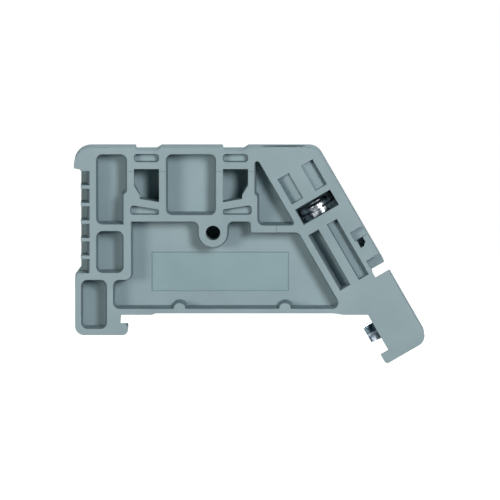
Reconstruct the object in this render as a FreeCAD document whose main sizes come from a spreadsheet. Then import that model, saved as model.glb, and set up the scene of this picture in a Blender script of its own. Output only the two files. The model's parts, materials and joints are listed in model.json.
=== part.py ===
import FreeCAD, Part
import math
import os
import re

import Sketcher

# End stop for a 35 mm top-hat rail: one ribbed plastic moulding with a fixed hook on the left
# and a slanted arm on the right. A screw runs down the arm and draws a square nut up under the
# rail's right flange.
# Millimetres. X runs across the rail, Y along it and Z up. The origin is on the rail's top
# face, half way across the rail and half way through the moulding. The ribbed side faces -Y.
# Sizes "along the arm" are measured from where the arm's outer edge meets the top face, and
# "off the axis" from the screw's axis, positive towards the arm's outer edge.

sizes = [
    ("rail_width", "35", "width of the rail over its flanges"),
    ("rail_flange", "1", "thickness of the rail's flange"),
    ("edge_play", "0.06", "gap between the rail's edge and the hook"),
    ("flange_play", "0.15", "gap above and below the flange in the hook"),

    ("body_thick", "8.5", "thickness of the moulding along the rail"),
    ("body_top", "23.62", "height of the top face above the rail"),
    ("body_draft", "3.8", "draft of the ribs, in degrees"),
    ("pocket_depth", "4.2", "depth of the pockets between the ribs"),
    ("window_depth", "7.3", "depth of the marker windows, comb cells and boss hole"),
    ("mouth_draft", "3.6", "draft of the edge notch and the hook's and foot's mouths, in degrees"),
    ("edge_round", "0.15", "smallest corner radius of the outline"),

    ("left_edge", "23.18", "from the rail's middle to the comb's open side"),
    ("beak_side", "24.14", "from the rail's middle to the beak at the top left"),
    ("beak_drop", "2.97", "height of the beak"),
    ("beak_round", "2.4", "radius on the beak's top corner"),
    ("foot_side", "24", "from the rail's middle to the left foot's outer face"),
    ("foot_shoulder", "6.45", "height of the left foot's shoulder"),
    ("shoulder_drop", "1.1", "height of the bevel on that shoulder"),
    ("foot_round", "1.27", "radius under the left foot"),
    ("hook_lip", "1.72", "thickness of the hook's lip"),
    ("hook_reach", "1.03", "how far the lip reaches under the rail"),
    ("hook_round", "0.8", "radius at the lip's end"),
    ("seat_relief", "0.2", "height of the hollow between the two seat pads"),
    ("left_seat", "4.4", "width of the left seat pad"),
    ("left_ramp", "0.55", "width of the step beside the left pad"),
    ("right_seat", "13.8", "from the rail's middle to the right seat pad"),
    ("right_ramp", "1.4", "width of the ramp beside the right pad"),

    ("comb_depth", "1.23", "how far the comb's cells reach into the moulding"),
    ("comb_top", "20.28", "height of the top of the comb's first cell"),
    ("comb_cell", "2", "height of one cell of the comb"),
    ("comb_pitch", "2.48", "spacing of the comb's cells"),
    ("comb_cells", "6", "number of cells in the comb"),

    ("clip_middle", "-7.66", "middle of the pair of marker holders"),
    ("clip_near", "4.5", "from that middle to a marker window's inner side"),
    ("clip_far", "8.03", "from that middle to a marker window's outer side"),
    ("clip_waist", "7.2", "from that middle to the window's narrowed outer side"),
    ("window_top", "20.56", "height of the windows' top side"),
    ("window_bend", "18.24", "height where a window starts to narrow"),
    ("window_waist", "16.85", "height where a window is narrowed"),
    ("window_foot", "16.35", "height of a window's bottom at its outer side"),
    ("window_heel", "15.9", "height of a window's bottom at its inner side"),
    ("slot_top", "22.68", "height of the top of the small slots"),
    ("slot_height", "1.14", "height of the small slots"),
    ("slot_round", "0.45", "radius at the small slots' ends"),
    ("slot_depth", "1.6", "depth of the small slots and wedges"),
    ("wedge_far", "8.55", "from the holders' middle to a wedge's tall end"),
    ("wedge_top", "15.5", "height of a wedge's top at its tall end"),
    ("wedge_low_top", "14.85", "height of a wedge's top at its low end"),
    ("wedge_bottom", "14.13", "height of the wedges' bottom"),
    ("top_notch", "2.96", "width of the notches in the top face"),
    ("notch_sink", "0.42", "depth of those notches"),
    ("notch_ramp", "0.65", "width of the ramp at a notch's right end"),
    ("notch_first", "-15.41", "left end of the first notch"),
    ("notch_pitch", "12.26", "spacing of the two notches"),

    ("rib_top", "22.65", "height of the top side of the large pockets"),
    ("middle_half", "3.52", "half the width of the middle pocket"),
    ("middle_bottom", "14.08", "height of the middle pocket's bottom"),
    ("middle_round", "0.85", "corner radius of the middle pocket"),
    ("side_left", "-21.02", "left side of the two side pockets"),
    ("side_right", "-17.15", "right side of the two side pockets"),
    ("side_wide", "0.48", "how much wider the upper side pocket is at its top"),
    ("side_step", "17.2", "height where that pocket gets narrower"),
    ("side_bottom", "12.75", "height of the upper side pocket's bottom"),
    ("lower_top", "11.83", "height of the lower side pocket's top"),
    ("lower_bottom", "5.92", "height of the lower side pocket's bottom"),
    ("side_round", "0.9", "corner radius of the side and foot pockets"),
    ("heel_left", "-23.15", "left side of the foot pocket"),
    ("heel_right", "-19.49", "right side of the foot pocket"),
    ("heel_top", "4.93", "height of the foot pocket's top"),
    ("heel_bottom", "-1.97", "height of the foot pocket's bottom"),

    ("main_left", "-16.11", "left side of the main pocket"),
    ("main_low_left", "-18.65", "left side of the main pocket below its shoulder"),
    ("main_bottom", "0.85", "height of the main pocket's bottom"),
    ("main_round", "0.85", "corner radius of the main pocket"),
    ("bay_right", "0.76", "right side of the bay beside the boss"),
    ("bay_step", "1.55", "from the main pocket's top down to the ledge right of that bay"),
    ("boss_place", "-4.56", "distance of the boss from the rail's middle"),
    ("boss_height", "11.55", "height of the boss's middle"),
    ("bay_rise", "1.62", "from the boss's middle up to the main pocket's top"),
    ("boss_radius", "2", "outer radius of the boss"),
    ("boss_bore", "1.03", "radius of the hole in the boss"),
    ("bump_radius", "0.8", "radius of the half-round stops under the main pocket"),
    ("bump_first", "-9.28", "place of the left half-round stop"),
    ("bump_second", "5.58", "place of the right half-round stop"),
    ("field_left", "-13.15", "left side of the sunk writing field"),
    ("field_right", "6.04", "right side of the sunk writing field"),
    ("field_top", "8.59", "height of the writing field's top"),
    ("field_bottom", "3.22", "height of the writing field's bottom"),
    ("field_sink", "0.12", "depth of the writing field"),
    ("gusset_left", "1.28", "left side of the three-cornered pocket"),
    ("gusset_step", "0.4", "step in that side"),
    ("gusset_waist", "17.1", "height of that step"),
    ("gusset_bottom", "12.6", "height of the three-cornered pocket's bottom"),
    ("gusset_round", "0.4", "radius in that pocket's narrow corners"),

    ("arm_corner", "10.152", "where the arm's outer edge meets the top face"),
    ("arm_tilt", "60", "slope of the arm, in degrees"),
    ("arm_round", "2", "radius between the top face and the arm"),
    ("axis_inset", "4.3", "from the arm's outer edge to the screw's axis"),
    ("gusset_wall", "3.82", "from the axis to the three-cornered pocket"),
    ("main_wall", "3.99", "from the axis to the main pocket"),
    ("foot_face", "1.35", "from the axis to the arm foot's inner face"),
    ("end_round", "1.6", "radius at the arm's lower outer corner"),
    ("stop_lip", "1.65", "thickness of the lip under the nut"),
    ("stop_reach", "2.62", "from the axis to the lip's end"),
    ("stop_round", "0.45", "radius at the lip's end"),
    ("edge_notch", "19.05", "how far down the arm its edge notch starts"),
    ("edge_notch_long", "0.9", "length of the edge notch in front"),
    ("edge_notch_sink", "2.1", "depth of the edge notch"),
    ("pad_first", "12.75", "how far down the arm the first sunk pad starts"),
    ("pad_second", "17.3", "how far down the arm the second sunk pad starts"),
    ("pad_long", "1.4", "length of the first sunk pad"),
    ("pad_wide", "2.05", "width of the sunk pads"),
    ("pad_first_sink", "1.6", "depth of the first sunk pad"),
    ("pad_second_sink", "3.4", "depth of the second sunk pad"),
    ("pit_long", "1.2", "length of the pit beside the first sunk pad"),
    ("pit_wide", "1", "width of that pit"),
    ("pit_inset", "0.25", "from the pad's inner side to the pit"),
    ("pit_corner", "0.5", "bevel on the pit's lower outer corner"),
    ("pit_depth", "3.4", "depth of that pit"),

    ("head_radius", "2.75", "radius of the screw's head"),
    ("head_play", "0.1", "gap between the head and the driver's passage"),
    ("head_high", "2.15", "height of the screw's head, collar and all"),
    ("crown_radius", "2.5", "radius of the head's domed upper part"),
    ("collar_high", "0.85", "height of the collar under the dome"),
    ("groove_wide", "0.15", "width of the groove between dome and collar"),
    ("crown_round", "0.7", "radius round the dome"),
    ("driver_slot", "0.8", "width of the driver slot"),
    ("driver_sink", "0.9", "depth of the driver slot"),
    ("shank_radius", "1.5", "outer radius of the screw's thread"),
    ("tip_bevel", "0.35", "bevel at the screw's tip"),
    ("tip_room", "1.19", "room under the screw's tip in the nut's chamber"),
    ("shank_play", "0.15", "gap round the shank in the moulding"),
    ("tunnel_wall", "0.9", "wall round the driver's passage and the shank's bore"),
    ("head_seat", "8.51", "how far down the arm the head sits"),
    ("head_window", "2.48", "height of the opening that shows the head"),
    ("window_back", "1.4", "wall left behind that opening"),
    ("upper_slot", "1.1", "how far down the arm the upper slots start"),
    ("upper_slot_long", "4.06", "length of the upper slots"),
    ("upper_strip", "1", "half the width of the strip between the upper slots"),
    ("lower_slot", "10.09", "how far down the arm the lower slots start"),
    ("lower_slot_long", "9.01", "length of the lower slots"),
    ("lower_strip", "1.35", "width of the strip between the lower slots"),
    ("lower_outer", "1.62", "from the axis to the lower right slot's outer side"),
    ("lower_inner", "3.04", "from the axis to the lower left slot's outer side"),

    ("nut_width", "5.8", "width of the square nut"),
    ("nut_thick", "2.53", "thickness of the square nut"),
    ("nut_bevel", "12", "angle of the turned bevel under the nut, in degrees"),
    ("nut_play", "0.1", "gap between the nut and its chamber on each side"),
    ("thread_play", "0.03", "gap between the shank and the nut's bore"),
    ("nut_lift", "1.35", "room above the nut in its chamber"),
    ("nut_drop", "1.8", "room under the nut in its chamber"),
]
alias_names = {alias for alias, value, meaning in sizes}

doc = FreeCAD.newDocument("rail_end_stop")
sheet = doc.addObject("Spreadsheet::Sheet", "Sizes")
for row, (alias, value, meaning) in enumerate(sizes, start=1):
    sheet.set(f"A{row}", meaning)
    sheet.set(f"B{row}", value)
    sheet.setAlias(f"B{row}", alias)
doc.recompute()


def bound(text):
    # the same text with each size read from the sheet
    def from_sheet(match):
        word = match.group()
        return f"Sizes.{word}" if word in alias_names else word
    return re.sub(r"[a-z_]+", from_sheet, str(text))


def worth(text):
    return float(sheet.evalExpression(bound(text)))


# where the screw's axis starts, square across from the arm's top corner
axis_x = "(arm_corner - axis_inset * sin(arm_tilt))"
axis_z = "(body_top - axis_inset * cos(arm_tilt))"

# places along the arm, from the nut's chamber down to the arm's end
chamber_top = f"(({axis_z} - foot_face * cos(arm_tilt)) / sin(arm_tilt))"
nut_top = f"({chamber_top} + nut_lift)"
chamber_end = f"({nut_top} + nut_thick + nut_drop)"
foot_end = f"({chamber_end} + stop_lip)"
screw_tip = f"({chamber_end} - tip_room)"


def arm_point(down, off):
    # a place on the arm as (X, Z) texts
    across = f"{axis_x} + ({down}) * cos(arm_tilt) + ({off}) * sin(arm_tilt)"
    height = f"{axis_z} - ({down}) * sin(arm_tilt) + ({off}) * cos(arm_tilt)"
    return across, height


def arm_point_at_height(height, off):
    # where the line at a distance off the axis crosses a height
    down = f"({axis_z} + ({off}) * cos(arm_tilt) - ({height})) / sin(arm_tilt)"
    return arm_point(down, off)[0], height


def arm_point_at_side(across, off):
    # where the line at a distance off the axis crosses an upright side
    down = f"(({across}) - {axis_x} - ({off}) * sin(arm_tilt)) / cos(arm_tilt)"
    return across, arm_point(down, off)[1]


def new_body(label):
    body = doc.addObject("PartDesign::Body", label)
    body.Label = label
    doc.recompute()
    return body


def new_sketch(body, name, off_plane="0", role="XZ_Plane"):
    # a sketch seen from the front, its x is X and its y is Z, unless role names another plane
    sketch = body.newObject("Sketcher::SketchObject", name)
    plane = [item for item in body.Origin.OriginFeatures if item.Role == role][0]
    sketch.AttachmentSupport = [(plane, "")]
    sketch.MapMode = "FlatFace"
    sketch.setExpression("AttachmentOffset.Base.z", bound(off_plane))
    return sketch


def new_arm_sketch(body, name, towards_front="0"):
    # a sketch turned with the arm: its x runs down the screw's axis, its y to the outer edge
    sketch = new_sketch(body, name, towards_front)
    turned = FreeCAD.Rotation(FreeCAD.Vector(0, 0, 1), -worth("arm_tilt"))
    sketch.AttachmentOffset = FreeCAD.Placement(FreeCAD.Vector(), turned)
    sketch.setExpression("AttachmentOffset.Base.x", bound(axis_x))
    sketch.setExpression("AttachmentOffset.Base.y", bound(axis_z))
    sketch.setExpression("AttachmentOffset.Rotation.Angle", bound("-arm_tilt"))
    return sketch


def placed(geometry, end, across, height):
    # what holds a point at a place, each with its size
    return [
        (Sketcher.Constraint("DistanceX", -1, 1, geometry, end, worth(across)), across),
        (Sketcher.Constraint("DistanceY", -1, 1, geometry, end, worth(height)), height),
    ]


def constrain(sketch, held):
    indexes = sketch.addConstraint([constraint for constraint, text in held])
    for index, (constraint, text) in zip(indexes, held):
        if text is not None:
            sketch.setExpression(f"Constraints[{index}]", bound(text))


def draw_outline(sketch, corners):
    # a closed outline through corners of (x, y) or (x, y, radius) texts
    places = [FreeCAD.Vector(worth(corner[0]), worth(corner[1]), 0) for corner in corners]
    count = len(corners)
    arrive, leave, rounds = [], [], []
    for index, corner in enumerate(corners):
        here = places[index]
        back = (places[index - 1] - here).normalize()
        ahead = (places[(index + 1) % count] - here).normalize()
        radius = worth(corner[2]) if len(corner) > 2 else 0
        reach = radius / math.tan(back.getAngle(ahead) / 2)
        arrive.append(here + back * reach)
        leave.append(here + ahead * reach)
        left_turn = (back * -1).cross(ahead).z > 0
        middle = here + (back + ahead).normalize() * radius / math.sin(back.getAngle(ahead) / 2)
        rounds.append((radius, middle, left_turn))

    lines = []
    for index in range(count):
        line = Part.LineSegment(leave[index], arrive[(index + 1) % count])
        lines.append(sketch.addGeometry(line, False))
    held = []
    for index, corner in enumerate(corners):
        radius, middle, left_turn = rounds[index]
        before, after = lines[index - 1], lines[index]
        if radius == 0:
            held.append((Sketcher.Constraint("Coincident", before, 2, after, 1), None))
            held += placed(after, 1, corner[0], corner[1])
            continue
        start, end = (arrive[index], leave[index]) if left_turn else (leave[index], arrive[index])
        start_angle = math.atan2(start.y - middle.y, start.x - middle.x)
        end_angle = math.atan2(end.y - middle.y, end.x - middle.x)
        circle = Part.Circle(middle, FreeCAD.Vector(0, 0, 1), radius)
        arc = sketch.addGeometry(Part.ArcOfCircle(circle, start_angle, end_angle), False)
        first, last = (1, 2) if left_turn else (2, 1)
        vertex = sketch.addGeometry(Part.Point(places[index]), True)
        held += [
            (Sketcher.Constraint("Tangent", before, 2, arc, first), None),
            (Sketcher.Constraint("Tangent", after, 1, arc, last), None),
            (Sketcher.Constraint("Radius", arc, radius), corner[2]),
            (Sketcher.Constraint("PointOnObject", vertex, 1, before), None),
            (Sketcher.Constraint("PointOnObject", vertex, 1, after), None),
        ]
        held += placed(vertex, 1, corner[0], corner[1])
    constrain(sketch, held)


def draw_circle(sketch, across, height, radius):
    middle = FreeCAD.Vector(worth(across), worth(height), 0)
    circle = Part.Circle(middle, FreeCAD.Vector(0, 0, 1), worth(radius))
    added = sketch.addGeometry(circle, False)
    size = (Sketcher.Constraint("Radius", added, worth(radius)), radius)
    constrain(sketch, [size] + placed(added, 3, across, height))


def extrude(body, sketch, kind, length, draft=None, reverse=False, both_ways=False):
    # kind is Pad or Pocket; a pad grows towards the front and a pocket sinks from it
    feature = body.newObject(f"PartDesign::{kind}", f"{sketch.Name}{kind}")
    feature.Profile = sketch
    feature.setExpression("Length", bound(length))
    feature.Reversed = reverse
    feature.Midplane = both_ways
    if draft:
        feature.setExpression("TaperAngle", bound(draft))
    doc.recompute()
    sketch.Visibility = False
    return feature


def turn(body, sketch, kind):
    # kind is Revolution or Groove, about the sketch's x axis
    feature = body.newObject(f"PartDesign::{kind}", f"{sketch.Name}{kind}")
    feature.Profile = sketch
    feature.ReferenceAxis = (sketch, ["H_Axis"])
    feature.Angle = 360
    doc.recompute()
    return feature


front = "body_thick / 2"
main_top = "(boss_height + bay_rise)"
bay_bottom = f"({main_top} - bay_step)"
hook_face = "-(rail_width / 2 + edge_play)"
hook_slot = "-(rail_flange + flange_play)"


def plate_outline():
    # the hook, the beak, the top face and the seat; its right end lies inside the arm
    hook_tip = f"{hook_face} + hook_reach"
    corners = [
        ("-foot_side", f"{hook_slot} - hook_lip", "foot_round"),
        ("-foot_side", "foot_shoulder - shoulder_drop", "edge_round"),
        ("-left_edge", "foot_shoulder", "edge_round"),
        ("-left_edge", "body_top - beak_drop - edge_round", "2 * edge_round"),
        ("-beak_side", "body_top - beak_drop", "edge_round"),
        ("-beak_side", "body_top", "beak_round"),
    ]
    for number in range(2):
        start = f"notch_first + {number} * notch_pitch"
        corners += [
            (start, "body_top", "edge_round"),
            (start, "body_top - notch_sink", "edge_round"),
            (f"{start} + top_notch", "body_top - notch_sink", "edge_round"),
            (f"{start} + top_notch + notch_ramp", "body_top", "edge_round"),
        ]
    corners += [
        arm_point_at_height("body_top", "0"),
        arm_point_at_height("0", "0"),
        ("right_seat", "0", "right_ramp"),
        ("right_seat - right_ramp", "seat_relief", "right_ramp"),
        (f"{hook_face} + left_seat + left_ramp", "seat_relief", "edge_round"),
        (f"{hook_face} + left_seat", "0", "edge_round"),
        (hook_face, "0"),
        (hook_face, hook_slot),
        (hook_tip, hook_slot, "hook_round"),
        (hook_tip, f"{hook_slot} - hook_lip", "hook_round"),
    ]
    return corners


def arm_outline():
    # the slanted arm with its foot and the lip under the nut
    return [
        arm_point_at_height("body_top", "-foot_face"),
        ("arm_corner", "body_top", "arm_round"),
        arm_point(foot_end, "axis_inset") + ("end_round",),
        arm_point(foot_end, "-stop_reach") + ("stop_round",),
        arm_point(chamber_end, "-stop_reach") + ("edge_round",),
        arm_point(chamber_end, "-foot_face") + ("edge_round",),
    ]


def main_pocket_outline():
    boss_left = "boss_place - boss_radius"
    boss_right = "boss_place + boss_radius"
    return [
        ("main_left", main_top),
        (boss_left, main_top, "main_round"),
        (boss_left, "boss_height"),
        (boss_right, "boss_height"),
        (boss_right, main_top, "main_round"),
        ("bay_right", main_top, "main_round / 2"),
        ("bay_right", bay_bottom, "2 * edge_round"),
        arm_point_at_height(bay_bottom, "-main_wall") + ("main_round",),
        arm_point_at_height("main_bottom", "-main_wall") + ("main_round",),
        ("main_low_left", "main_bottom", "main_round"),
        ("main_low_left", "heel_top", "main_round"),
        ("main_left", "heel_top", "main_round"),
    ]


def upper_side_outline():
    return [
        ("side_left", "rib_top", "side_round"),
        ("side_right + side_wide", "rib_top", "side_round"),
        ("side_right + side_wide", "side_step + side_wide / 2"),
        ("side_right", "side_step - side_wide / 2"),
        ("side_right", "side_bottom"),
        ("side_left", "side_bottom", "side_round"),
    ]


def gusset_outline():
    inner_side = "gusset_left + gusset_step"
    return [
        arm_point_at_side("gusset_left", "-gusset_wall") + ("gusset_round",),
        arm_point_at_height("gusset_bottom", "-gusset_wall") + ("gusset_round",),
        (inner_side, "gusset_bottom", "side_round"),
        (inner_side, "gusset_waist - gusset_step"),
        ("gusset_left", "gusset_waist"),
    ]


def marker_window_outline(side):
    near, far, waist = (f"clip_middle + {side} * clip_{end}" for end in ("near", "far", "waist"))
    return [
        (near, "window_top"),
        (far, "window_top"),
        (far, "window_bend"),
        (waist, "window_waist"),
        (waist, "window_foot"),
        (near, "window_heel"),
    ]


def wedge_outline(side):
    near = f"clip_middle + {side} * clip_near"
    far = f"clip_middle + {side} * wedge_far"
    return [
        (near, "wedge_low_top", "slot_round / 2"),
        (far, "wedge_top", "slot_round"),
        (far, "wedge_bottom", "slot_round"),
        (near, "wedge_bottom", "slot_round / 2"),
    ]


def small_slot_outline(side):
    near = f"clip_middle + {side} * clip_near"
    far = f"clip_middle + {side} * clip_far"
    return [
        (near, "slot_top", "slot_round"),
        (far, "slot_top", "slot_round"),
        (far, "slot_top - slot_height", "slot_round"),
        (near, "slot_top - slot_height", "slot_round"),
    ]


def sink(body, name, outlines, depth):
    # one drafted pocket from the front through several outlines
    sketch = new_sketch(body, name, front)
    for outline in outlines:
        draw_outline(sketch, outline)
    extrude(body, sketch, "Pocket", depth, "body_draft")


def box_outline(left, right, bottom, top, *radius):
    corners = [(left, bottom), (right, bottom), (right, top), (left, top)]
    return [corner + radius for corner in corners]


def bump_outline(middle):
    left, right = f"{middle} - bump_radius", f"{middle} + bump_radius"
    foot = "main_bottom - edge_round"
    crown = "main_bottom + bump_radius"
    return [(left, foot), (right, foot), (right, crown, "0.9 * bump_radius"),
            (left, crown, "0.9 * bump_radius")]


def cut_rib_pockets(body):
    pockets = (
        ("MainPocket", main_pocket_outline()),
        ("UpperSidePocket", upper_side_outline()),
        ("LowerSidePocket", box_outline("side_left", "side_right", "lower_bottom", "lower_top",
                                        "side_round")),
        ("HeelPocket", box_outline("heel_left", "heel_right", "heel_bottom", "heel_top",
                                   "side_round")),
        ("MiddlePocket", box_outline("clip_middle - middle_half", "clip_middle + middle_half",
                                     "middle_bottom", "rib_top", "middle_round")),
        ("GussetPocket", gusset_outline()),
    )
    for name, outline in pockets:
        sink(body, name, [outline], "pocket_depth")

    # the boss and the two half-round stops stand on the main pocket's floor
    raised = new_sketch(body, "BossAndStops", front)
    draw_circle(raised, "boss_place", "boss_height", "boss_radius")
    draw_outline(raised, bump_outline("bump_first"))
    draw_outline(raised, bump_outline("bump_second"))
    extrude(body, raised, "Pad", "pocket_depth", "body_draft", reverse=True)

    field = new_sketch(body, "WritingField", f"{front} - pocket_depth")
    draw_outline(field, box_outline("field_left", "field_right", "field_bottom", "field_top"))
    extrude(body, field, "Pocket", "field_sink")


def cut_marker_holders(body):
    sides = (-1, 1)
    windows = new_sketch(body, "WindowsAndBossBore", front)
    for side in sides:
        draw_outline(windows, marker_window_outline(side))
    draw_circle(windows, "boss_place", "boss_height", "boss_bore")
    extrude(body, windows, "Pocket", "window_depth")
    outlines = [small_slot_outline(side) for side in sides]
    outlines += [wedge_outline(side) for side in sides]
    sink(body, "SmallSlots", outlines, "slot_depth")


def cut_comb(body):
    # one cell seen from above: open to the left, with a drafted inner side
    cell = new_sketch(body, "CombCell", "comb_top", "XY_Plane")
    outside = "-(left_edge + comb_depth)"
    inner_side = "comb_depth - left_edge"
    cell_back = f"window_depth - {front}"
    draw_outline(cell, [
        (outside, f"-{front}"),
        (inner_side, f"-{front}"),
        (f"{inner_side} - window_depth * tan(body_draft)", cell_back),
        (outside, cell_back),
    ])
    pocket = extrude(body, cell, "Pocket", "comb_cell")
    row = body.newObject("PartDesign::LinearPattern", "CombRow")
    row.Originals = [pocket]
    row.Direction = (cell, ["N_Axis"])
    row.Reversed = True
    row.setExpression("Length", bound("comb_pitch * (comb_cells - 1)"))
    row.setExpression("Occurrences", bound("comb_cells"))
    body.Tip = row
    doc.recompute()


def arm_boxes(body, name, boxes, depth, draft=None, from_middle=False):
    # one pocket of rectangles, each start, length, inner and outer side
    sketch = new_arm_sketch(body, name, "0" if from_middle else front)
    for start, length, inner, outer in boxes:
        draw_outline(sketch, box_outline(start, f"{start} + {length}", inner, outer))
    extrude(body, sketch, "Pocket", depth, draft, both_ways=from_middle)


def cut_arm(body):
    passage = "(head_radius + head_play)"
    bore = "(shank_radius + shank_play)"
    arm_boxes(body, "ArmSlots", [
        ("upper_slot", "upper_slot_long", "upper_strip", passage),
        ("upper_slot", "upper_slot_long", f"-{passage}", "-upper_strip"),
        ("lower_slot", "lower_slot_long", "0", "lower_outer"),
        ("lower_slot", "lower_slot_long", "-lower_inner", "-lower_strip"),
    ], "pocket_depth", "body_draft")

    # the tunnel's round outside shows on the slots' floors
    tunnel = new_arm_sketch(body, "Tunnel")
    upper_end = "upper_slot + upper_slot_long + tunnel_wall"
    lower_end = "lower_slot + lower_slot_long + tunnel_wall"
    draw_outline(tunnel, [
        ("upper_slot - edge_round", "0"),
        (lower_end, "0"),
        (lower_end, f"{bore} + tunnel_wall"),
        (upper_end, f"{bore} + tunnel_wall"),
        (upper_end, f"{passage} + tunnel_wall"),
        ("upper_slot - edge_round", f"{passage} + tunnel_wall"),
    ])
    turn(body, tunnel, "Revolution")

    passages = new_arm_sketch(body, "Passages")
    above_top = "-body_thick"
    draw_outline(passages, [
        (above_top, "0"),
        (chamber_end, "0"),
        (chamber_end, bore),
        ("head_seat", bore),
        ("head_seat", passage),
        (above_top, passage),
    ])
    turn(body, passages, "Groove")

    window = ("head_seat - head_window", "head_window", f"-{passage}", passage)
    arm_boxes(body, "HeadWindow", [window], "body_thick - window_back")

    # the nut's chamber is open on the foot's inner side
    half = "(nut_width / 2 + nut_play)"
    chamber = (chamber_top, f"{chamber_end} - {chamber_top}", f"-{half}", half)
    arm_boxes(body, "NutChamber", [chamber], f"2 * {half}", from_middle=True)

    pad_inner = "axis_inset - pad_wide"
    to_notch = "edge_notch + edge_notch_long / 2 - pad_second"
    for name, start, length in (("FirstPad", "pad_first", "pad_long"),
                                ("SecondPad", "pad_second", to_notch)):
        pad = (start, length, pad_inner, "axis_inset + pad_wide")
        arm_boxes(body, name, [pad], f"{start}_sink")
    pit = new_arm_sketch(body, "EdgePit", front)
    pit_start = "pad_first + pad_long"
    pit_end = f"{pit_start} + pit_long"
    pit_inner = f"{pad_inner} + pit_inset"
    pit_outer = f"{pit_inner} + pit_wide"
    draw_outline(pit, [
        (pit_start, pit_inner),
        (pit_end, pit_inner),
        (pit_end, f"{pit_outer} - pit_corner"),
        (f"{pit_end} - pit_corner", pit_outer),
        (pit_start, pit_outer),
    ])
    extrude(body, pit, "Pocket", "pit_depth")


def cut_mouths(body):
    # the edge notch and the mouths of hook and foot, cut from the back and narrower in front
    spread = "body_thick * tan(mouth_draft)"
    notch_floor = f"axis_inset - edge_notch_sink - {spread}"
    notch_start = f"edge_notch - {spread}"
    notch_end = f"edge_notch + edge_notch_long + {spread}"
    slot_end = f"{hook_slot} - {spread}"
    lip_end = f"{chamber_end} + {spread}"
    foot_inner = f"{spread} - foot_face"
    under_seat = f"{hook_slot} / 4"
    past_lip = f"-stop_reach - {front}"
    mouths = new_sketch(body, "Mouths", f"-{front}")
    draw_outline(mouths, [
        arm_point(notch_start, notch_floor),
        arm_point(notch_end, notch_floor),
        arm_point(notch_end, f"axis_inset + {front}"),
        arm_point(notch_start, f"axis_inset + {front}"),
    ])
    draw_outline(mouths, box_outline(f"{hook_face} - {spread}", f"{hook_face} + {front}",
                                     slot_end, under_seat))
    draw_outline(mouths, [
        arm_point_at_height(under_seat, foot_inner),
        arm_point_at_height(under_seat, past_lip),
        arm_point(lip_end, past_lip),
        arm_point(lip_end, foot_inner),
    ])
    extrude(body, mouths, "Pocket", "body_thick + edge_round", "-mouth_draft", reverse=True)


def make_moulding():
    body = new_body("moulded_body")
    for name, outline in (("Plate", plate_outline()), ("Arm", arm_outline())):
        sketch = new_sketch(body, name, front)
        draw_outline(sketch, outline)
        extrude(body, sketch, "Pad", "body_thick", reverse=True)
    cut_rib_pockets(body)
    cut_marker_holders(body)
    cut_comb(body)
    cut_arm(body)
    cut_mouths(body)
    return body


def make_screw():
    body = new_body("clamp_screw")
    profile = new_arm_sketch(body, "ScrewProfile")
    top = "head_seat - head_high"
    collar_top = "head_seat - collar_high"
    draw_outline(profile, [
        (top, "0"),
        (screw_tip, "0"),
        (screw_tip, "shank_radius - tip_bevel"),
        (f"{screw_tip} - tip_bevel", "shank_radius"),
        ("head_seat", "shank_radius"),
        ("head_seat", "head_radius"),
        (collar_top, "head_radius"),
        (collar_top, "crown_radius - groove_wide"),
        (f"{collar_top} - groove_wide", "crown_radius - groove_wide"),
        (f"{collar_top} - groove_wide", "crown_radius"),
        (top, "crown_radius", "crown_round"),
    ])
    turn(body, profile, "Revolution")
    slot = (top, "driver_sink", "-driver_slot / 2", "driver_slot / 2")
    arm_boxes(body, "DriverSlot", [slot], "2 * head_radius", from_middle=True)
    return body


def make_nut():
    body = new_body("clamp_nut")
    lower_face = f"({nut_top} + nut_thick)"
    square = new_arm_sketch(body, "Square")
    draw_outline(square, box_outline(nut_top, lower_face, "-nut_width / 2", "nut_width / 2"))
    extrude(body, square, "Pad", "nut_width", both_ways=True)
    bore = new_arm_sketch(body, "ThreadBore")
    draw_outline(bore, box_outline(f"{nut_top} - nut_play", f"{lower_face} + nut_play",
                                   "0", "shank_radius + thread_play"))
    turn(body, bore, "Groove")

    # the turned bevel takes off only the square's corners
    bevel = new_arm_sketch(body, "TurnedBevel")
    draw_outline(bevel, [
        (lower_face, "nut_width / 2"),
        (lower_face, "nut_width"),
        (f"{lower_face} - nut_width / 2 * tan(nut_bevel)", "nut_width"),
    ])
    turn(body, bevel, "Groove")
    return body


def check_features(body):
    # every pad adds and every cut takes away, or it points the wrong way
    volume = 0
    for feature in body.Group:
        if not feature.isDerivedFrom("PartDesign::Feature"):
            continue
        change = feature.Shape.Volume - volume
        cuts = feature.isDerivedFrom("PartDesign::Pocket") or "Groove" in feature.Name
        if (cuts and change >= 0) or (not cuts and change == 0):
            raise ValueError(f"{feature.Name} changes the volume by {change:.4f}")
        volume = feature.Shape.Volume


parts = [make_moulding(), make_screw(), make_nut()]
doc.recompute()
for item in doc.Objects:
    if "Invalid" in item.State or "Error" in item.State:
        raise ValueError(f"{item.Name} failed: {item.State}")
for piece in parts:
    if piece.Shape.isNull() or not piece.Shape.isValid():
        raise ValueError(f"{piece.Label} has no valid shape")
    check_features(piece)

os.makedirs("parts", exist_ok=True)
for piece in parts:
    piece.Shape.exportStep(f"parts/{piece.Label}.step")
    box = piece.Shape.BoundBox
    print(f"{piece.Label}: {len(piece.Shape.Solids)} solid, {piece.Shape.Volume:.1f} mm3, "
          f"{box.XMin:.2f}..{box.XMax:.2f} {box.YMin:.2f}..{box.YMax:.2f} {box.ZMin:.2f}..{box.ZMax:.2f}")
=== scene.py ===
import json
import math

import bmesh
import bpy
from mathutils import Matrix, Vector


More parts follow.
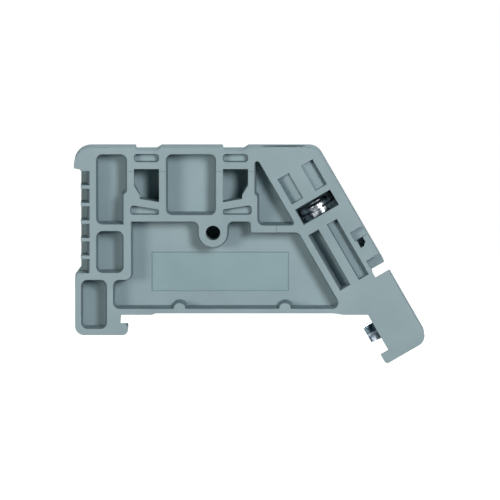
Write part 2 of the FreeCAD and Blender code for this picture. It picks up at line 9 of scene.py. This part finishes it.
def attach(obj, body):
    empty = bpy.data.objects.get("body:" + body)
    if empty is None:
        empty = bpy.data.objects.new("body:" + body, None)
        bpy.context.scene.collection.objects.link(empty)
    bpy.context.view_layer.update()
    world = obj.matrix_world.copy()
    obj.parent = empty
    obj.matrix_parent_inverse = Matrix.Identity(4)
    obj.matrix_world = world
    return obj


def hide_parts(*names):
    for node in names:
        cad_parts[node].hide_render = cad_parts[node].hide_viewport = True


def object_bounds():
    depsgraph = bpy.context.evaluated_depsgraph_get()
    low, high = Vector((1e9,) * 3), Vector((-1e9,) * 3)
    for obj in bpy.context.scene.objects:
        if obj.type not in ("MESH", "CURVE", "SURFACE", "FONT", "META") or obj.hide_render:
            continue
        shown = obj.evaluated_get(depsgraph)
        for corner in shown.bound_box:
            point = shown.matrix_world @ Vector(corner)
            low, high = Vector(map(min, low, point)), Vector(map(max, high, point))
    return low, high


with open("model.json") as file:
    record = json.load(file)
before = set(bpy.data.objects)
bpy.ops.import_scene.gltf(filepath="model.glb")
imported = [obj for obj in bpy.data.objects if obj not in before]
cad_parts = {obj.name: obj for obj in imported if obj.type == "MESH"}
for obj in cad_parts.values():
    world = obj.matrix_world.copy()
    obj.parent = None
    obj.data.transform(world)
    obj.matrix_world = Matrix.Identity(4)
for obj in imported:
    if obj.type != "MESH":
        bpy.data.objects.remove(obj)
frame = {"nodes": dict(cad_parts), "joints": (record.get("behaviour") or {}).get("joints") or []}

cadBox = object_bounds()
scene = bpy.context.scene
mm = 0.001

# The end stop seen from its ribbed side. X runs across the rail, Y along it and Z up.
# Every size below is in millimetres until it is multiplied by mm.


# the arm's own directions, read from the frame

screwJoint = next(joint for joint in frame["joints"] if joint["name"] == "screw_turn")
downArm = Vector(screwJoint["axis"]).normalized()
towardsFront = Vector((0, -1, 0))
outOfArm = towardsFront.cross(downArm)
axisPoint = Vector(screwJoint["pos_m"])


def reachAlongArm(nodeName):
    # where a node begins and ends along the screw's axis, in metres from the joint's point
    places = [(vertex.co - axisPoint).dot(downArm) for vertex in frame["nodes"][nodeName].data.vertices]
    return min(places), max(places)


def armMatrix(distance):
    # local x leads out of the arm, y to the front and z down the screw's axis
    turned = Matrix((outOfArm, towardsFront, downArm)).transposed().to_4x4()
    return Matrix.Translation(axisPoint + downArm * distance) @ turned


# making meshes

meshSizes = {
    "near": 1e-4,         # heights that differ by less are the same
    "cutNear": 1e-5,      # the same for the cuts that end a thread
    "smoothBelow": 32,    # degrees, an edge that turns more stays hard
    "softenAbove": 35,    # degrees, an edge that turns more gets a bevel
}

# the screw and the nut have the same thread, with a flat crest and root
threadSizes = {
    "pitch": 0.5,
    "rootEnds": 0.25,     # this and the next two are shares of the pitch
    "crestBegins": 0.5625,
    "crestEnds": 0.6875,
    "segments": 56,       # in one turn
}


def objectFrom(bm, name, placing=None):
    # millimetres in the working mesh, metres in the object
    bmesh.ops.recalc_face_normals(bm, faces=bm.faces)
    mesh = bpy.data.meshes.new(name)
    bm.to_mesh(mesh)
    bm.free()
    mesh.transform(Matrix.Scale(mm, 4))
    if placing is not None:
        mesh.transform(placing)
    piece = bpy.data.objects.new(name, mesh)
    scene.collection.objects.link(piece)
    return piece


def turnedShape(bm, profile, segments):
    # a closed shape turned about z, from (z, radius) points that start and end on the axis
    rings = []
    for height, radius in profile:
        if radius == 0:
            rings.append([bm.verts.new((0, 0, height))])
            continue
        angles = [2 * math.pi * step / segments for step in range(segments)]
        rings.append([bm.verts.new((radius * math.cos(a), radius * math.sin(a), height)) for a in angles])
    for lower, upper in zip(rings, rings[1:]):
        for step in range(segments):
            following = (step + 1) % segments
            corners = [lower[step % len(lower)], lower[following % len(lower)],
                       upper[following % len(upper)], upper[step % len(upper)]]
            bm.faces.new(list(dict.fromkeys(corners)))


def threadedRod(bm, rootRadius, crestRadius, start, end, tipBevel=0):
    # a right-hand thread swept round z as one continuous ridge, cut flat at both ends
    t = threadSizes
    pitch, segments = t["pitch"], t["segments"]
    ridge = ((0, rootRadius), (t["rootEnds"], rootRadius),
             (t["crestBegins"], crestRadius), (t["crestEnds"], crestRadius))
    turns = math.ceil((end - start) / pitch) + 2    # one more at each end, for the cuts
    rows = []
    for step in range(turns * segments + 1):
        angle = 2 * math.pi * step / segments
        along = start - pitch + pitch * step / segments
        row = []
        for share, radius in ridge:
            height = along + share * pitch
            if tipBevel:
                radius = min(radius, crestRadius - tipBevel + max(end - height, 0))
            row.append(bm.verts.new((radius * math.cos(angle), radius * math.sin(angle), height)))
        rows.append(row)
    for step in range(len(rows) - 1):
        here, ahead = rows[step], rows[step + 1]
        for place in range(len(ridge) - 1):
            bm.faces.new((here[place], ahead[place], ahead[place + 1], here[place + 1]))
        if step + segments + 1 < len(rows):
            bm.faces.new((here[-1], ahead[-1], rows[step + segments + 1][0], rows[step + segments][0]))
    for height, outwards in ((start, -1), (end, 1)):
        bmesh.ops.bisect_plane(bm, geom=bm.verts[:] + bm.edges[:] + bm.faces[:], dist=meshSizes["cutNear"],
                               plane_co=(0, 0, height), plane_no=(0, 0, outwards), clear_outer=True)
        rim = [edge for edge in bm.edges if edge.is_boundary
               and all(abs(vertex.co.z - height) < meshSizes["near"] for vertex in edge.verts)]
        bmesh.ops.contextual_create(bm, geom=rim)


def boxShape(bm, low, high):
    middle = [(a + b) / 2 for a, b in zip(low, high)]
    sides = [b - a for a, b in zip(low, high)]
    placing = Matrix.Translation(middle) @ Matrix.Diagonal((*sides, 1))
    return bmesh.ops.create_cube(bm, size=1, matrix=placing)["verts"]


def applyModifiers(piece):
    depsgraph = bpy.context.evaluated_depsgraph_get()
    finished = bpy.data.meshes.new_from_object(piece.evaluated_get(depsgraph))
    piece.modifiers.clear()
    piece.data = finished


def combine(piece, other, operation):
    # other joins piece, or is cut from it, and is then gone
    modifier = piece.modifiers.new("combine", "BOOLEAN")
    modifier.object = other
    modifier.operation = operation
    modifier.solver = "EXACT"
    applyModifiers(piece)
    bpy.data.objects.remove(other)


def softenEdges(piece, width, segments):
    modifier = piece.modifiers.new("softenEdges", "BEVEL")
    modifier.width = width * mm
    modifier.segments = segments
    modifier.limit_method = "ANGLE"
    modifier.angle_limit = math.radians(meshSizes["softenAbove"])
    applyModifiers(piece)


def shadeByAngle(piece):
    # smooth shading, with hard edges where the surface turns sharply
    limit = math.radians(meshSizes["smoothBelow"])
    piece.data.shade_smooth()
    bm = bmesh.new()
    bm.from_mesh(piece.data)
    for edge in bm.edges:
        edge.smooth = edge.calc_face_angle(0) < limit
    bm.to_mesh(piece.data)
    bm.free()


# materials

def linear(red, green, blue):
    # a colour as a screen shows it, 0 to 255, turned into the shader's numbers
    def one(value):
        value /= 255
        return value / 12.92 if value <= 0.04045 else ((value + 0.055) / 1.055) ** 2.4
    return one(red), one(green), one(blue)


class Recipe:
    # a material's nodes, with short calls for the few kinds used here
    def __init__(self, name):
        self.material = bpy.data.materials.new(name)
        self.material.use_nodes = True
        self.tree = self.material.node_tree
        self.shader = self.tree.nodes["Principled BSDF"]
        self.places = self.add("ShaderNodeTexCoord").outputs["Object"]

    def add(self, kind, **settings):
        node = self.tree.nodes.new(kind)
        for key, value in settings.items():
            setattr(node, key, value)
        return node

    def join(self, source, target):
        self.tree.links.new(source, target)

    def noise(self, size, detail=3, roughness=0.55, stretch=None):
        # size is that of one blotch, in millimetres
        node = self.add("ShaderNodeTexNoise")
        node.inputs["Scale"].default_value = 1 / (size * mm)
        node.inputs["Detail"].default_value = detail
        node.inputs["Roughness"].default_value = roughness
        source = self.places
        if stretch:
            mapping = self.add("ShaderNodeMapping")
            mapping.inputs["Scale"].default_value = stretch
            self.join(source, mapping.inputs["Vector"])
            source = mapping.outputs["Vector"]
        self.join(source, node.inputs["Vector"])
        return node.outputs["Fac"]

    def between(self, source, low, high, fromLow=0.3, fromHigh=0.7):
        # spreads one range over another; a noise lies mostly from 0.3 to 0.7
        node = self.add("ShaderNodeMapRange")
        ranges = {"From Min": fromLow, "From Max": fromHigh, "To Min": low, "To Max": high}
        for socket, value in ranges.items():
            node.inputs[socket].default_value = value
        self.join(source, node.inputs["Value"])
        return node.outputs["Result"]

    def colours(self, source, tones):
        # a ramp through the tones, each a place and a colour as a screen shows it
        node = self.add("ShaderNodeValToRGB")
        ramp = node.color_ramp
        while len(ramp.elements) < len(tones):
            ramp.elements.new(0.5)
        for element, (place, colour) in zip(ramp.elements, tones):
            element.position = place
            element.color = (*linear(*colour), 1)
        self.join(source, node.inputs["Fac"])
        return node.outputs["Color"]

    def times(self, first, second):
        node = self.add("ShaderNodeMath", operation="MULTIPLY")
        self.join(first, node.inputs[0])
        self.join(second, node.inputs[1])
        return node.outputs["Value"]

    def within(self, low, high, soft=0.03):
        # 1 in the block between two corners, in millimetres, and 0 outside it
        split = self.add("ShaderNodeSeparateXYZ")
        self.join(self.places, split.inputs["Vector"])
        share = None
        for axis, first, last in zip("XYZ", low, high):
            for edge, before, after in ((first, 0, 1), (last, 1, 0)):
                begins, ends = (edge - soft) * mm, (edge + soft) * mm
                side = self.between(split.outputs[axis], before, after, begins, ends)
                share = side if share is None else self.times(share, side)
        return share

    def tinted(self, share, colour, shade):
        # the colour times a shade, where the share is 1
        node = self.add("ShaderNodeMix", data_type="RGBA", blend_type="MULTIPLY")
        self.join(share, node.inputs["Factor"])
        self.join(colour, node.inputs["A"])
        node.inputs["B"].default_value = (*shade, 1)
        return node.outputs["Result"]

    def bump(self, source, depth, below=None):
        # depth in millimetres
        node = self.add("ShaderNodeBump")
        node.inputs["Distance"].default_value = depth * mm
        self.join(source, node.inputs["Height"])
        if below is not None:
            self.join(below, node.inputs["Normal"])
        return node.outputs["Normal"]


plasticLook = {
    "tones": (            # place in the clouds' noise, and the colour there
        (0.3, (140, 160, 166)),
        (0.5, (146, 166, 172)),
        (0.7, (151, 171, 177)),
    ),
    "blotch": 9,          # size of the faint clouds in the colour
    "grain": 0.16,        # size of the spark-eroded grain
    "grainDepth": 0.006,
    "rough": (0.6, 0.7),
    "edgeRound": 0.12,    # radius that the light sees on every edge
    "gloss": 0.08,        # on surfaces that face the viewer
    "glossFades": (0.5, 0.8),   # where it begins to fade, and where it is gone, as Facing goes to 1
    "ior": 1.45,
}

fieldLook = {
    "low": (-13.15, -1, 3.22),    # corners of the sunk writing field
    "high": (6.04, 1, 8.59),
    "shade": (0.94, 0.99, 0.98),
    "border": 0.14,
    # a painted shadow along the sunk field's edges
    "borderPaintedShadow": (0.78, 0.82, 0.83),
}

paintedPassageShade = {
    "low": (1, -3.6, 22.9),       # painted shade around the rim of the driver's passage
    "high": (8.8, 3.6, 23.55),
    "shade": (0.3, 0.36, 0.34),
}

# fine lines that the mould's inserts leave on the ribs, each from one end to the other
witnessLines = {
    "wide": 0.1,
    "soft": 0.02,         # blur on each side
    "depths": (-4.3, -4.2),       # in Y, around the front face
    "shade": (0.62, 0.66, 0.68),
    "ends": (
        ((-16.5, 20.2), (-15.8, 20.2)),
        ((-12.1, 20.2), (-11.3, 20.2)),
        ((-4.1, 20.2), (-3.3, 20.2)),
        ((0.4, 20.2), (1.2, 20.2)),
        ((4.38, 11.7), (4.38, 12.5)),
    ),
}


def markedPlastic(recipe, tint):
    # the writing field with the painted shadow along its border, the painted shade in the passage and the
    # witness lines
    look, lines = fieldLook, witnessLines
    outerLow = [value - look["border"] for value in look["low"]]
    outerHigh = [value + look["border"] for value in look["high"]]
    # painted shadow along the field's border
    tint = recipe.tinted(recipe.within(outerLow, outerHigh), tint, look["borderPaintedShadow"])
    # the field lies inside the border's block, so the border's painted shadow is divided out there
    fieldShade = [shade / border for shade, border in zip(look["shade"], look["borderPaintedShadow"])]
    tint = recipe.tinted(recipe.within(look["low"], look["high"]), tint, fieldShade)
    # painted shade inside the passage's rim
    passageShadeMask = recipe.within(paintedPassageShade["low"], paintedPassageShade["high"])
    tint = recipe.tinted(passageShadeMask, tint, paintedPassageShade["shade"])
    half = lines["wide"] / 2
    front, back = lines["depths"]
    for (left, bottom), (right, top) in lines["ends"]:
        low = (left - half, front, bottom - half)
        high = (right + half, back, top + half)
        tint = recipe.tinted(recipe.within(low, high, lines["soft"]), tint, lines["shade"])
    return tint


def mouldedPlastic():
    look = plasticLook
    recipe = Recipe("mouldedPlastic")
    clouds = recipe.noise(look["blotch"], detail=4)
    tint = recipe.colours(clouds, look["tones"])
    recipe.join(markedPlastic(recipe, tint), recipe.shader.inputs["Base Color"])
    grain = recipe.noise(look["grain"], detail=2)
    recipe.join(recipe.between(grain, *look["rough"]), recipe.shader.inputs["Roughness"])
    rounded = recipe.add("ShaderNodeBevel", samples=6)
    rounded.inputs["Radius"].default_value = look["edgeRound"] * mm
    normal = recipe.bump(grain, look["grainDepth"], rounded.outputs["Normal"])
    recipe.join(normal, recipe.shader.inputs["Normal"])
    # a faint gloss that fades out on surfaces seen from the side
    facing = recipe.add("ShaderNodeLayerWeight").outputs["Facing"]
    gloss = recipe.between(facing, look["gloss"], 0, *look["glossFades"])
    recipe.join(gloss, recipe.shader.inputs["Specular IOR Level"])
    recipe.shader.inputs["IOR"].default_value = look["ior"]
    return recipe.material


steelLook = {             # the same on the screw and the nut
    "scratch": 0.05,      # width of the fine scratches
    "scratchStretch": (1, 1, 0.08),   # they are longest along z
    "scratchDepth": 0.003,
}

screwLook = {
    # the tones run from a painted dark reflection to a painted bright one
    "tones": ((0.4, (62, 68, 74)), (0.6, (192, 199, 207))),
    "reflectionPatch": 1.1,         # size of the patches, whose tone differs at random and is spread dark to bright as painted reflections
    "rough": (0.14, 0.22),
}

nutLook = {
    # the tones run from a painted dark reflection to a painted bright one
    "tones": ((0.4, (74, 88, 100)), (0.6, (214, 226, 238))),
    "reflectionPatch": 0.9,
    "rough": (0.15, 0.24),
    # painted shade on the plain upper band
    "bandPaintedShade": (0.2, 0.26, 0.28),
    "bandSoft": 0.05,     # blur on each side of the band's edge
    # a painted shadow that the foot throws on the nut
    "footPaintedShadow": (0.16, 0.18, 0.2),
    "footEdge": -2.05,    # from the axis to the painted shadow that the foot throws on the nut
    "footSoft": 0.15,
}


def platedSteel(name, look):
    # returns the colour too, with painted reflections in its patches, for the caller to shade and join
    recipe = Recipe(name)
    reflectionPatches = recipe.noise(look["reflectionPatch"], detail=5, roughness=0.6)
    scratches = recipe.noise(steelLook["scratch"], detail=2, stretch=steelLook["scratchStretch"])
    recipe.join(recipe.between(reflectionPatches, *look["rough"]), recipe.shader.inputs["Roughness"])
    recipe.join(recipe.bump(scratches, steelLook["scratchDepth"]), recipe.shader.inputs["Normal"])
    recipe.shader.inputs["Metallic"].default_value = 1
    return recipe, recipe.colours(reflectionPatches, look["tones"])


def distanceAlong(recipe, direction):
    # how far a place on the steel is from the screw joint's point, along a direction
    moved = recipe.add("ShaderNodeVectorMath", operation="SUBTRACT")
    moved.inputs[1].default_value = axisPoint
    recipe.join(recipe.places, moved.inputs[0])
    along = recipe.add("ShaderNodeVectorMath", operation="DOT_PRODUCT")
    along.inputs[1].default_value = direction
    recipe.join(moved.outputs["Vector"], along.inputs[0])
    return along.outputs["Value"]


def screwSteel():
    recipe, tint = platedSteel("screwSteel", screwLook)
    recipe.join(tint, recipe.shader.inputs["Base Color"])
    return recipe.material


def nutSteel(bandEnd):
    # painted shade darkens the plain upper band, and a painted shadow the side next to the foot
    look = nutLook
    recipe, tint = platedSteel("nutSteel", look)
    soft = look["bandSoft"] * mm
    # painted shade on the upper band
    bandShadeMask = recipe.between(distanceAlong(recipe, downArm), 1, 0, bandEnd - soft, bandEnd + soft)
    tint = recipe.tinted(bandShadeMask, tint, look["bandPaintedShade"])
    # painted shadow beside the foot
    edge, soft = look["footEdge"] * mm, look["footSoft"] * mm
    footShadowMask = recipe.between(distanceAlong(recipe, outOfArm), 0, 1, edge - soft, edge + soft)
    tint = recipe.tinted(footShadowMask, tint, look["footPaintedShadow"])
    recipe.join(tint, recipe.shader.inputs["Base Color"])
    return recipe.material


# the moulding

mouldingSizes = {
    "draft": 3.8,         # lean of the pocket walls, in degrees
    "flatness": 0.5,      # faces that turn less than this, in degrees, become one
    "windows": ((-15.9, -12.0), (-3.4, 0.6)),   # left and right of each marker window
    "windowHeights": (15.5, 20.8),
    "packedFloor": 3.05,  # the windows' floor in Y, in the frame
    "raisedFloor": 0.6,   # in Y at the left of each window, where the photo shows it well lit
    "rim": 0.22,          # round along the outline's front edge
    "rimSteps": 3,
}

mouldingLimits = {        # how near a value comes to count as the same
    "doubles": 1e-6,      # metres between two vertices
    "lean": 0.002,        # a wall's normal in Y, and that of the draft
    "sameSide": 0.9999,   # cosine between two walls that face the same way
    "floor": 0.02,
    "front": 1e-3,
    "back": 0.01,
    "square": 0.01,       # a wall's normal in Y, and none
}


def openPockets(bm):
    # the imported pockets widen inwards, so each wall's inner edge moves in and the wall leans outwards
    near = mouldingLimits
    lean = math.radians(mouldingSizes["draft"])
    moves = []
    for vertex in bm.verts:
        sides = []
        for face in vertex.link_faces:
            if abs(face.normal.y - math.sin(lean)) < near["lean"]:
                side = Vector((face.normal.x, 0, face.normal.z)).normalized()
                if all(side.dot(other) < near["sameSide"] for other in sides):
                    sides.append(side)
        if sides:
            middle = sum(sides, Vector()) / len(sides)
            reach = 2 * math.tan(lean) * (vertex.co.y - cadBox[0].y)
            moves.append((vertex, middle * reach / middle.length_squared))
    for vertex, move in moves:
        vertex.co += move


def slopeWindowFloors(bm):
    # each window's floor comes nearer to the front towards the left
    s = mouldingSizes
    bottom, top = s["windowHeights"]
    for vertex in bm.verts:
        x, y, z = vertex.co / mm
        if not bottom < z < top or abs(y - s["packedFloor"]) >= mouldingLimits["floor"]:
            continue
        for left, right in s["windows"]:
            if left < x < right:
                share = (x - left) / (right - left)
                vertex.co.y = (s["raisedFloor"] + share * (s["packedFloor"] - s["raisedFloor"])) * mm


def roundRim(bm):
    # the outline's front edges lie between the front face and walls that run through to the back
    near = mouldingLimits
    front, back = cadBox[0].y / mm, cadBox[1].y / mm
    rim = []
    for edge in bm.edges:
        onFront = all(abs(vertex.co.y - front) < near["front"] for vertex in edge.verts)
        walls = [face for face in edge.link_faces if abs(face.normal.y) < near["square"]]
        if onFront and walls and max(vertex.co.y for vertex in walls[0].verts) > back - near["back"]:
            rim.append(edge)
    bmesh.ops.bevel(bm, geom=rim, offset=mouldingSizes["rim"], segments=mouldingSizes["rimSteps"],
                    profile=0.5, affect="EDGES", clamp_overlap=True)


def makeMoulding():
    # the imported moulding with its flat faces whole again, and then the three changes
    bm = bmesh.new()
    bm.from_mesh(frame["nodes"]["moulded_body"].data)
    bmesh.ops.remove_doubles(bm, verts=bm.verts, dist=mouldingLimits["doubles"])
    bmesh.ops.dissolve_limit(bm, angle_limit=math.radians(mouldingSizes["flatness"]),
                             verts=bm.verts, edges=bm.edges)
    openPockets(bm)
    slopeWindowFloors(bm)
    bmesh.ops.scale(bm, vec=(1 / mm, 1 / mm, 1 / mm), verts=bm.verts)
    bmesh.ops.recalc_face_normals(bm, faces=bm.faces)
    roundRim(bm)
    bmesh.ops.triangulate(bm, faces=bm.faces)
    moulding = objectFrom(bm, "mouldedBody")
    shadeByAngle(moulding)
    moulding.data.materials.append(mouldedPlastic())
    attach(moulding, "housing")
    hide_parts("moulded_body")


makeMoulding()
print("moulding finished")


# the screw

screwSizes = {
    "headRadius": 2.75,
    "headHigh": 2.15,
    "dome": ((0, 0), (0.02, 1.25)),   # places on the crown's flat dome: from the top, from the axis
    "domeEdge": 0.06,     # where the crown's round begins, from the top
    "crownRadius": 2.5,
    "crownRound": 0.75,
    "crownSteps": 6,
    "crownBevel": 0.06,
    "grooveHigh": 0.16,   # groove between the crown and the collar
    "grooveDeep": 0.26,
    "collarHigh": 0.85,
    "collarBevel": 0.09,
    "headBevel": 0.07,
    "segments": 56,
    "slotWide": 0.8,
    "slotDeep": 0.9,
    "crossWide": 0.84,
    "crossLong": 3.1,
    "crossDeep": 1.25,
    "crossTaper": (0.55, 0.4),   # share of its width and length that is left at its bottom
    "cutterAbove": 0.5,   # the cutters' reach above the head
    "threadRadius": 1.49,
    "rootRadius": 1.19,
    "tipBevel": 0.35,
    "shankOverlap": 0.1,  # how far the shank reaches into the head
}


def headProfile():
    s = screwSizes
    crown, head, bevel = s["crownRadius"], s["headRadius"], s["crownBevel"]
    collarTop = s["headHigh"] - s["collarHigh"]
    grooveTop = collarTop - s["grooveHigh"]
    profile = list(s["dome"])
    for step in range(s["crownSteps"] + 1):
        angle = math.pi / 2 * step / s["crownSteps"]
        profile.append((s["domeEdge"] + s["crownRound"] * (1 - math.cos(angle)),
                        crown - s["crownRound"] * (1 - math.sin(angle))))
    profile += [
        (grooveTop - bevel, crown),
        (grooveTop, crown - bevel),
        (grooveTop, crown - s["grooveDeep"]),
        (collarTop, crown - s["grooveDeep"]),
        (collarTop, head - s["collarBevel"]),
        (collarTop + s["collarBevel"], head),
        (s["headHigh"] - s["headBevel"], head),
        (s["headHigh"], head - s["headBevel"]),
        (s["headHigh"], 0),
    ]
    return profile


def makeScrew():
    s = screwSizes
    start, end = reachAlongArm("clamp_screw")
    length = (end - start) / mm
    placing = armMatrix(start)

    bm = bmesh.new()
    turnedShape(bm, headProfile(), s["segments"])
    screw = objectFrom(bm, "threadedScrew", placing)

    # a straight slot with a shorter tapered blade across it
    bm = bmesh.new()
    boxShape(bm, (-s["headRadius"], -s["slotWide"] / 2, -s["cutterAbove"]),
             (s["headRadius"], s["slotWide"] / 2, s["slotDeep"]))
    combine(screw, objectFrom(bm, "slotCutter", placing), "DIFFERENCE")
    bm = bmesh.new()
    blade = boxShape(bm, (-s["crossWide"] / 2, -s["crossLong"] / 2, -s["cutterAbove"]),
                     (s["crossWide"] / 2, s["crossLong"] / 2, s["crossDeep"]))
    for vertex in blade:
        if vertex.co.z > 0:
            vertex.co.x *= s["crossTaper"][0]
            vertex.co.y *= s["crossTaper"][1]
    combine(screw, objectFrom(bm, "crossCutter", placing), "DIFFERENCE")

    bm = bmesh.new()
    shankStart = s["headHigh"] - s["shankOverlap"]
    threadedRod(bm, s["rootRadius"], s["threadRadius"], shankStart, length, s["tipBevel"])
    combine(screw, objectFrom(bm, "shank", placing), "UNION")
    shadeByAngle(screw)
    screw.data.materials.clear()
    screw.data.materials.append(screwSteel())
    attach(screw, "screw")
    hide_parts("clamp_screw")


makeScrew()
print("screw finished")


# the nut

nutSizes = {
    "width": 5.8,
    "cornerRound": 0.12,
    "cornerSteps": 3,
    "bevelAngle": 12,
    "bevelSegments": 96,
    "bandHigh": 1.15,     # height of the plain upper band
    "grooveHigh": 0.14,   # groove that parts the two bands
    "grooveDeep": 0.12,
    "threadRadius": 1.53,
    "rootRadius": 1.23,
}

# how far the nut's cutting tools reach past what they cut
nutTools = {
    "bevelSide": 0.2,
    "bevelAbove": 0.1,
    "bevelBelow": 0.01,
    "bevelInset": 0.1,    # the bevel tool's last, flat part ends this far inside the nut's side
    "groove": 1,
    "bore": 0.5,
}


def makeNut():
    s, tools = nutSizes, nutTools
    start, end = reachAlongArm("clamp_nut")
    high = (end - start) / mm
    placing = armMatrix(start)
    half = s["width"] / 2

    bm = bmesh.new()
    boxShape(bm, (-half, -half, 0), (half, half, high))
    nut = objectFrom(bm, "squareNut", placing)
    softenEdges(nut, s["cornerRound"], s["cornerSteps"])

    # the turned bevel under the nut takes off its corners
    bm = bmesh.new()
    corner = half * math.sqrt(2) + tools["bevelSide"]
    drop = (corner - half) * math.tan(math.radians(s["bevelAngle"]))
    profile = [
        (-tools["bevelAbove"], 0),
        (-tools["bevelAbove"], corner),
        (high - drop, corner),
        (high, half),
        (high + tools["bevelBelow"], half - tools["bevelInset"]),
        (high + tools["bevelBelow"], 0),
    ]
    turnedShape(bm, profile, s["bevelSegments"])
    combine(nut, objectFrom(bm, "bevelTool", placing), "INTERSECT")

    # a shallow groove parts the plain band from the bevelled one
    bm = bmesh.new()
    outer = half + tools["groove"]
    boxShape(bm, (-outer, -outer, s["bandHigh"]), (outer, outer, s["bandHigh"] + s["grooveHigh"]))
    ring = objectFrom(bm, "grooveTool", placing)
    bm = bmesh.new()
    inner = half - s["grooveDeep"]
    boxShape(bm, (-inner, -inner, 0), (inner, inner, high))
    combine(ring, objectFrom(bm, "grooveCore", placing), "DIFFERENCE")
    combine(nut, ring, "DIFFERENCE")

    # the bore's thread keeps step with the screw's
    bm = bmesh.new()
    threadedRod(bm, s["rootRadius"], s["threadRadius"], -tools["bore"], high + tools["bore"])
    screwStart = (reachAlongArm("clamp_screw")[0] - start) / mm
    threadStart = screwStart + screwSizes["headHigh"] - screwSizes["shankOverlap"]
    ahead = (threadStart + tools["bore"]) % threadSizes["pitch"]
    bore = objectFrom(bm, "boreTool", placing @ Matrix.Translation((0, 0, ahead * mm)))
    combine(nut, bore, "DIFFERENCE")
    shadeByAngle(nut)
    nut.data.materials.clear()
    nut.data.materials.append(nutSteel(start + s["bandHigh"] * mm))
    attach(nut, "nut")
    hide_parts("clamp_nut")


makeNut()
print("nut finished")


# camera, floor and light

viewSizes = {
    "target": (0.648, -4.25, 9.155),
    "distance": 2347,
    "elevation": 3.3,     # degrees above level
    "lens": 1200,
    "sensor": 36,
    "nearest": 50,        # nothing nearer or further than these two shows
    "furthest": 10000,
}


def makeCamera():
    v = viewSizes
    lens = bpy.data.cameras.new("camera")
    lens.lens = v["lens"]
    lens.sensor_width = v["sensor"]
    lens.clip_start, lens.clip_end = v["nearest"] * mm, v["furthest"] * mm
    camera = bpy.data.objects.new("camera", lens)
    scene.collection.objects.link(camera)
    tilt = math.radians(v["elevation"])
    back = Vector((0, -math.cos(tilt), math.sin(tilt)))
    camera.location = (Vector(v["target"]) + back * v["distance"]) * mm
    camera.rotation_euler = (math.pi / 2 - tilt, 0, 0)
    scene.camera = camera


studio = {
    "floorHeight": -34,
    "floorSize": 6000,
    "floorShade": 0.16,   # share of the floor that takes light and shadow
    "floorGlow": 0.05,    # what the floor adds from below
    "fill": 0.025,        # what the world adds from every side
    "white": (1, 1, 1),
    "warm": (1, 0.96, 0.9),
    # name, degrees to the right, degrees up, distance, width, height, level, colour
    "lamps": (
        ("keyLamp", 17.5, 12.5, 620, 141, 174, 0.6, "white"),
        ("sideLamp", -31, 3.5, 620, 210, 163, 0.36, "warm"),
        ("topLamp", 180, 76, 600, 420, 300, 0.52, "white"),
        ("rearRightLamp", 148, 18, 620, 300, 300, 0.5, "white"),
        ("rearLeftLamp", 195, 18, 620, 300, 300, 0.4, "white"),
    ),
}


def whiteToTheEye(tree, strength):
    # 1 for rays from the camera and in mirrors or glass, else the strength
    paths = tree.nodes.new("ShaderNodeLightPath")
    seen = paths.outputs["Is Camera Ray"]
    for ray in ("Is Glossy Ray", "Is Transmission Ray"):
        highest = tree.nodes.new("ShaderNodeMath")
        highest.operation = "MAXIMUM"
        tree.links.new(seen, highest.inputs[0])
        tree.links.new(paths.outputs[ray], highest.inputs[1])
        seen = highest.outputs["Value"]
    level = tree.nodes.new("ShaderNodeMapRange")
    level.inputs["To Min"].default_value = strength
    level.inputs["To Max"].default_value = 1
    tree.links.new(seen, level.inputs["Value"])
    return level.outputs["Result"]


def makeFloor():
    half = studio["floorSize"] / 2
    bm = bmesh.new()
    corners = [(-half, -half), (half, -half), (half, half), (-half, half)]
    bm.faces.new([bm.verts.new((x, y, studio["floorHeight"])) for x, y in corners])
    floor = objectFrom(bm, "floor")
    material = bpy.data.materials.new("paleFloor")
    material.use_nodes = True
    nodes, links = material.node_tree.nodes, material.node_tree.links
    nodes.remove(nodes["Principled BSDF"])
    output = nodes["Material Output"]
    matte = nodes.new("ShaderNodeBsdfDiffuse")
    shade = studio["floorShade"]
    matte.inputs["Color"].default_value = (shade, shade, shade, 1)
    glow = nodes.new("ShaderNodeEmission")
    strength = whiteToTheEye(material.node_tree, studio["floorGlow"])
    links.new(strength, glow.inputs["Strength"])
    both = nodes.new("ShaderNodeAddShader")
    links.new(matte.outputs["BSDF"], both.inputs[0])
    links.new(glow.outputs["Emission"], both.inputs[1])
    links.new(both.outputs["Shader"], output.inputs["Surface"])
    floor.data.materials.append(material)


def makeWorld():
    world = bpy.data.worlds.new("studioWorld")
    scene.world = world
    world.use_nodes = True
    background = world.node_tree.nodes["Background"]
    background.inputs["Color"].default_value = (*studio["white"], 1)
    strength = whiteToTheEye(world.node_tree, studio["fill"])
    world.node_tree.links.new(strength, background.inputs["Strength"])


def makeLamps():
    middle = (cadBox[0] + cadBox[1]) / 2
    for name, rightwards, up, distance, wide, high, level, colour in studio["lamps"]:
        lamp = bpy.data.lights.new(name, "AREA")
        lamp.shape = "ELLIPSE"
        lamp.size, lamp.size_y = wide * mm, high * mm
        # the level is what a white face square to the lamp would show
        lamp.energy = level * math.pi ** 2 * (distance * mm) ** 2
        lamp.color = studio[colour]
        turn, lift = math.radians(rightwards), math.radians(up)
        towards = Vector((math.sin(turn) * math.cos(lift), -math.cos(turn) * math.cos(lift), math.sin(lift)))
        item = bpy.data.objects.new(name, lamp)
        scene.collection.objects.link(item)
        item.location = middle + towards * distance * mm
        item.rotation_euler = towards.to_track_quat("Z", "Y").to_euler()


makeCamera()
makeFloor()
makeWorld()
makeLamps()
scene.view_settings.view_transform = "Standard"
print("camera, floor and light finished")
